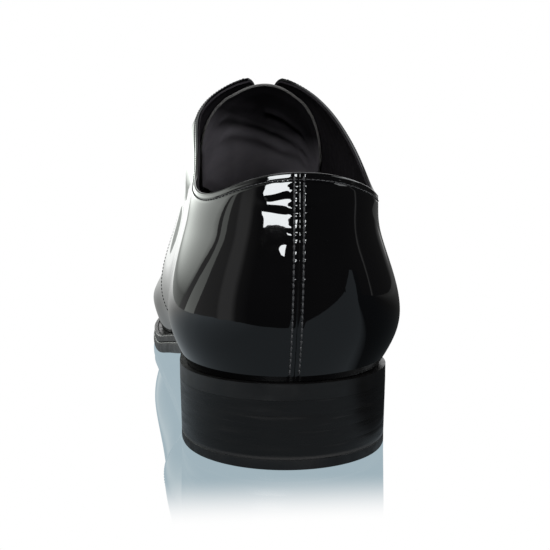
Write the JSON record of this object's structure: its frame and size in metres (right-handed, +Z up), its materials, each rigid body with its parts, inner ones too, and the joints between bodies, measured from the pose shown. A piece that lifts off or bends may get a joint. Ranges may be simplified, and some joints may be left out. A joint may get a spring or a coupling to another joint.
{
  "type": "derby dress shoe",
  "caption": "Left black patent leather derby dress shoe with open lacing, a hollow upper, a welted leather sole with arch and toe spring, and a low stacked heel.",
  "frame": {"origin": "on the floor, at the middle of the heel's underside", "axes": "+Y towards the toe, -X towards the lateral side of the left foot, +Z up"},
  "size_m": [0.0971, 0.3016, 0.1244],
  "materials": {
    "patent": "mirror-gloss patent coat",
    "lining": "matte lining leather",
    "sole_edge": "satin edge ink",
    "heel": "satin, finely scratched",
    "rubber": "matte",
    "lace": "waxed cord"
  },
  "bodies": {
    "root": {"outsole": "sole_edge", "welt": "sole_edge", "insole": "lining", "upper": "patent", "tongue": "patent", "heel_block": "heel", "top_piece": "rubber", "lace_bar_1": "lace", "lace_bar_2": "lace", "lace_bar_3": "lace", "lace_bar_4": "lace", "lace_bar_5": "lace"}
  },
  "joints": []
}
